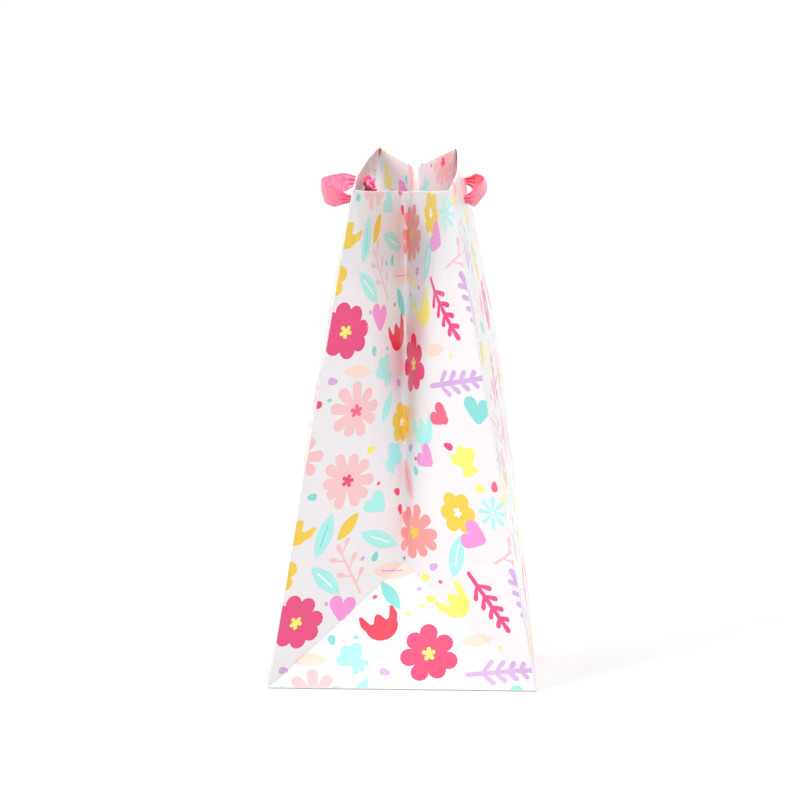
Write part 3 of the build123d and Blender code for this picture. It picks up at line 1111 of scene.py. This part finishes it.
def ribbon_tree():
    """Lays a woven ribbon along a line, gathered into pleats at its ends and leaning over in its middle."""
    tree = bpy.data.node_groups.new("satin_ribbon_layer", "GeometryNodeTree")
    tree.interface.new_socket("Route", in_out="INPUT", socket_type="NodeSocketGeometry")
    for name, value in RIBBON_SIZES.items():
        size = tree.interface.new_socket(name, in_out="INPUT", socket_type="NodeSocketFloat")
        size.default_value = value
    tree.interface.new_socket("Satin", in_out="INPUT", socket_type="NodeSocketMaterial")
    tree.interface.new_socket("Ribbon", in_out="OUTPUT", socket_type="NodeSocketGeometry")
    net = Net(tree)
    sizes = net.node("NodeGroupInput").outputs
    to_curve = net.node("GeometryNodeMeshToCurve", {"Mesh": sizes["Route"]})
    upright = net.node("GeometryNodeSetCurveNormal", {"Curve": to_curve.outputs["Curve"]}, mode="Z_UP")
    grid = net.node("GeometryNodeMeshGrid", {"Size X": 1.0, "Size Y": 1.0, "Vertices X": RIBBON_COLUMNS,
                                             "Vertices Y": RIBBON_ROWS})
    split = net.split(grid.outputs["UV Map"])
    along = split["Y"]
    across = net.less(split["X"], 0.5)

    def vector(operation, *values):
        node = net.node("ShaderNodeVectorMath", dict(enumerate(values)), operation=operation)
        return node.outputs["Vector"]

    def scaled(way, amount):
        node = net.node("ShaderNodeVectorMath", {0: way, "Scale": amount}, operation="SCALE")
        return node.outputs["Vector"]

    def opened(distance):
        """From 0 where the ribbon is gathered at its end to 1 where it has opened."""
        inputs = {"Value": distance, "From Min": 0.0, "From Max": sizes["Gather"]}
        return net.node("ShaderNodeMapRange", inputs, interpolation_type="SMOOTHSTEP").outputs["Result"]

    def missing(end_width, share_open):
        return net.times(net.less(sizes["Full width"], sizes[end_width]), net.less(1.0, share_open))

    open_first, open_last = opened(along), opened(net.less(1.0, along))
    width = net.less(sizes["Full width"], missing("First width", open_first))
    width = net.less(width, missing("Last width", open_last))
    sample = net.node("GeometryNodeSampleCurve", mode="FACTOR", use_all_curves=True)
    net.fill(sample, {"Curves": upright.outputs["Curve"], "Factor": along})
    tangent, flat_normal = sample.outputs["Tangent"], sample.outputs["Normal"]
    up = vector("CROSS_PRODUCT", tangent, flat_normal)
    swell = net.math("SINE", net.times(along, math.pi))
    angle = net.times(sizes["Lean"], net.math("POWER", swell, 1.6))
    cosine, sine = net.math("COSINE", angle), net.math("SINE", angle)
    width_way = vector("ADD", scaled(up, cosine), scaled(flat_normal, sine))
    face_way = vector("SUBTRACT", scaled(flat_normal, cosine), scaled(up, sine))
    gathered = net.less(2.0, net.math("ADD", open_first, open_last))
    waves = net.math("SINE", net.times(net.times(across, sizes["Pleats"]), 2 * math.pi))
    pleat = net.times(net.times(waves, sizes["Pleat depth"]), gathered)
    hollow = net.times(net.times(net.times(across, across), net.times(sizes["Curl"], 4.0)), swell)
    place = vector("ADD", sample.outputs["Position"], scaled(width_way, net.times(across, width)))
    place = vector("ADD", place, scaled(face_way, net.math("ADD", pleat, hollow)))
    weave = net.node("ShaderNodeCombineXYZ", {"X": net.times(across, sizes["Full width"]),
                                              "Y": net.times(along, sizes["Length"])})
    store = net.node("GeometryNodeStoreNamedAttribute", data_type="FLOAT_VECTOR", domain="POINT")
    net.fill(store, {"Geometry": grid.outputs["Mesh"], "Name": "weave", "Value": weave.outputs["Vector"]})
    move = net.node("GeometryNodeSetPosition", {"Geometry": store.outputs["Geometry"], "Position": place})
    realize = net.node("GeometryNodeRealizeInstances", {"Geometry": move.outputs["Geometry"]})
    dress = net.node("GeometryNodeSetMaterial", {"Geometry": realize.outputs["Geometry"],
                                                 "Material": sizes["Satin"]})
    net.node("NodeGroupOutput", {"Ribbon": dress.outputs["Geometry"]})
    return tree


RIBBON_TREE = ribbon_tree()


def lay_ribbon(name, line, **sizes):
    """A ribbon of the given sizes along line, as a plain closed mesh."""
    mesh = bpy.data.meshes.new(name)
    mesh.from_pydata(line, [(i, i + 1) for i in range(len(line) - 1)], [])
    ribbon = in_scene(name, mesh)
    layer = ribbon.modifiers.new("ribbon", "NODES")
    layer.node_group = RIBBON_TREE
    given = {**RIBBON_SIZES, "Length": line_length(line), "Satin": SATIN}
    given.update({label.replace("_", " ").capitalize(): size for label, size in sizes.items()})
    for item in RIBBON_TREE.interface.items_tree:
        if item.name in given:
            layer[item.identifier] = given[item.name]
    thicken = ribbon.modifiers.new("thickness", "SOLIDIFY")
    thicken.thickness = RIBBON_THICKNESS
    thicken.offset = 0.0
    plain = bpy.data.meshes.new_from_object(ribbon.evaluated_get(bpy.context.evaluated_depsgraph_get()))
    ribbon.modifiers.clear()
    ribbon.data = plain
    plain.name = name
    plain.polygons.foreach_set("use_smooth", [True] * len(plain.polygons))
    return ribbon


def at_pivot(side, x, out):
    """A place x across the bag and out beyond the line that a handle swings about, in millimetres."""
    return Vector((x * MM, side * (PIVOT_Y + out * MM), PIVOT_Z))


def make_handle(side_name, side, reach, lean, curl):
    route = [(x, out * reach) for x, out in LOOP_ROUTE]
    route = [(route[0][0], NECK_DEPTH)] + route + [(route[-1][0], NECK_DEPTH)]
    line = nurbs_line([at_pivot(side, x, out) for x, out in route])
    ribbon = lay_ribbon(f"{side_name}_satin_handle", line, lean=lean, curl=curl)
    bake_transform(ribbon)
    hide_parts(f"{side_name}_ribbon_handle")
    tuple(line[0])
    line_length(line)
    [tuple(p) for p in line]


# ---- knots
KNOT_SIZE = 0.95 * MM  # the trefoil's unit
KNOT_CORD = 1.35 * MM
KNOT_STEPS = 96
KNOT_ROUND = 20


def knot_mesh(name, centre, out, side_way):
    """A tight overhand knot in a bunched ribbon: a trefoil tube with lengthwise folds."""
    up = out.cross(side_way)
    points = []
    for i in range(KNOT_STEPS):
        t = 2 * math.pi * i / KNOT_STEPS
        x = math.sin(t) + 2 * math.sin(2 * t)
        y = math.cos(t) - 2 * math.cos(2 * t)
        z = -1.25 * math.sin(3 * t)
        points.append(centre + (side_way * x + up * y + out * z) * KNOT_SIZE)
    vertices, faces, weave = [], [], []
    for i, point in enumerate(points):
        along = (points[(i + 1) % KNOT_STEPS] - points[i - 1]).normalized()
        first = (out - along * out.dot(along)).normalized()
        second = along.cross(first)
        for j in range(KNOT_ROUND):
            turn = 2 * math.pi * j / KNOT_ROUND
            radius = KNOT_CORD * (1 + 0.13 * math.cos(5 * turn + 0.9 * math.sin(0.4 * i)))
            vertices.append(point + first * (radius * math.cos(turn)) + second * (radius * math.sin(turn)))
            weave.append((5 * MM * math.cos(turn / 2), i * 0.4 * MM, 0.0))
            a = i * KNOT_ROUND + j
            b = i * KNOT_ROUND + (j + 1) % KNOT_ROUND
            c = (b + KNOT_ROUND) % (KNOT_STEPS * KNOT_ROUND)
            d = (a + KNOT_ROUND) % (KNOT_STEPS * KNOT_ROUND)
            faces.append([a, b, c, d])
    return satin_mesh(name, vertices, faces, weave)


def satin_mesh(name, vertices, faces, weave):
    mesh = bpy.data.meshes.new(name)
    mesh.from_pydata(vertices, [], faces)
    woven = mesh.attributes.new("weave", "FLOAT_VECTOR", "POINT")
    woven.data.foreach_set("vector", [value for place in weave for value in place])
    mesh.polygons.foreach_set("use_smooth", [True] * len(faces))
    mesh.materials.append(SATIN)
    piece = in_scene(name, mesh)
    face_out(piece)
    return piece


def joined(name, pieces):
    """The pieces as one object."""
    with bpy.context.temp_override(active_object=pieces[0], object=pieces[0], selected_objects=pieces,
                                   selected_editable_objects=pieces):
        bpy.ops.object.join()
    pieces[0].name = name
    pieces[0].data.name = name
    return pieces[0]


def make_knot(side_name, side, end_name, end):
    """The knot that keeps the ribbon from pulling out, the bunch through the hole and the loose tail."""
    panel = panel_surface(side)
    u = panel_start(side) + (HALF_WIDTH - side * end * HOLE_SPACING / 2) / MM
    hole = panel(u, HOLE_V)
    out = outward_at(panel, u, HOLE_V)
    side_way = Vector((end, 0, 0))
    down = side_way.cross(out)
    if down.z > 0:
        down = -down
    centre = hole - out * (2 * PANEL_TURN + 3.0 * MM)

    def below(back, drop, along=0.0):
        """A place back from the knot, down and along the bag, in millimetres."""
        return centre + (down * drop + side_way * along - out * back) * MM

    knot = knot_mesh("knot", centre, out, side_way)
    bunch_line = nurbs_line([centre, below(-2.0, 0), hole, hole + out * 1.6 * MM])
    bunch = lay_ribbon("bunch", bunch_line, full_width=0.0036, pleat_depth=0.0004, gather=0.9, curl=0.0)
    tail_line = nurbs_line([centre, below(2.6, 2.2), below(1.4, 6), below(0.6, 11, 0.8),
                            below(1.6, 16, 1.6)])
    tail = lay_ribbon("tail", tail_line, full_width=0.0085, last_width=0.0085, gather=0.5, pleats=2.0,
                      pleat_depth=0.0005, curl=0.0009)
    piece = joined(f"{side_name}_{end_name}_tied_knot", [knot, bunch, tail])
    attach(piece, f"{side_name}_panel")
    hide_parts(f"{side_name}_{end_name}_knot")


# ---- assembly of the sheet and boards
for side_name, side in (("front", -1), ("back", 1)):
    make_panel(side_name, side)
    make_top_board(side_name, side)
    for end_name, end in (("left", -1), ("right", 1)):
        make_knot(side_name, side, end_name, end)
make_handle("front", -1, 0.70, math.radians(-16), -3.0 * MM)
make_handle("back", 1, 1.18, math.radians(8), 0.6 * MM)
make_seam_flap()

for end_name, end in (("left", -1), ("right", 1)):
    make_lower_gusset(end_name, end)
    make_end_flap(end_name, end)
    make_middle_strip(end_name, end)
    for side_name, side in (("front", -1), ("back", 1)):
        make_half_gusset(end_name, end, side_name, side)
make_long_flap("back", 1, 0)
make_long_flap("front", -1, 1)

base_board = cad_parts["base_board"]
base_board.data.materials.clear()
base_board.data.materials.append(BOARD)

# ---- camera, light and floor
CAMERA_FROM = Vector((-1104.4, -35.7, 334.0)) * MM
CAMERA_TURN = math.radians(2.14)
CAMERA_DOWN = math.radians(11.22)
SENSOR = 36.0
LENS = 97.425
OVERHEAD_LIGHT = 0.55
FLOOR_REACH = 8.0


def make_camera():
    data = bpy.data.cameras.new("camera")
    data.sensor_width = SENSOR
    data.lens = LENS
    camera = in_scene("camera", data)
    forward = Vector((math.cos(CAMERA_TURN) * math.cos(CAMERA_DOWN),
                      math.sin(CAMERA_TURN) * math.cos(CAMERA_DOWN), -math.sin(CAMERA_DOWN)))
    right = forward.cross(Vector((0, 0, 1))).normalized()
    up = right.cross(forward)
    turn = Matrix((right, up, -forward)).transposed().to_4x4()
    camera.matrix_world = Matrix.Translation(CAMERA_FROM) @ turn
    bpy.context.scene.camera = camera


def add_light(name, kind, towards, power):
    """A light that shines from the given direction."""
    data = bpy.data.lights.new(name, kind)
    data.energy = power
    light = in_scene(name, data)
    light.rotation_euler = Vector(towards).to_track_quat("Z", "Y").to_euler()
    return light


def add_soft_light(name, towards, strength):
    add_light(name, "SUN", towards, strength).data.angle = 0.35


def add_mouth_light():
    """A small panel over the open mouth that brightens the inside."""
    place, target = Vector((-0.03, 0, 0.42)), Vector((0.09, 0, 0.19))
    light = add_light("mouth", "AREA", place - target, 0.29)
    light.location = place
    light.data.shape = "RECTANGLE"
    light.data.size, light.data.size_y = 0.12, 0.05
    light.data.spread = math.radians(70)


def make_floor():
    material, net, shader = new_finish("white_floor")
    grain = net.noise(net.place(), 40.0, 3.0)
    net.fill(shader, {"Base Color": net.mix(grain, (0.69, 0.69, 0.69, 1.0), (0.73, 0.73, 0.73, 1.0)),
                      "Roughness": 0.7, "Emission Color": (1.0, 1.0, 1.0, 1.0), "Emission Strength": 0.12})
    mesh = bpy.data.meshes.new("floor")
    corners = [(x * FLOOR_REACH, y * FLOOR_REACH, 0) for x, y in ((-1, -1), (1, -1), (1, 1), (-1, 1))]
    mesh.from_pydata(corners, [], [(0, 1, 2, 3)])
    mesh.materials.append(material)
    floor = in_scene("floor", mesh)
    floor.location.z = -0.05 * MM


def make_world():
    """A white studio: bright round the horizon and softer overhead."""
    world = bpy.data.worlds.new("studio")
    world.use_nodes = True
    net = Net(world.node_tree)
    height = net.split(net.node("ShaderNodeTexCoord").outputs["Generated"])["Z"]
    strength = net.ramp(height, 0.10, 0.45, 1.0, OVERHEAD_LIGHT)
    net.fill(net.nodes["Background"], {"Strength": strength, "Color": (1.0, 1.0, 1.0, 1.0)})
    bpy.context.scene.world = world


make_camera()
make_world()
make_floor()
add_soft_light("key", (-0.45, 0.72, 0.53), 1.25)
add_soft_light("fill", (-0.76, -0.20, 0.62), 1.05)
add_soft_light("top", (-0.15, -0.10, 0.98), 1.10)
add_mouth_light()
bpy.context.scene.view_settings.view_transform = "Standard"
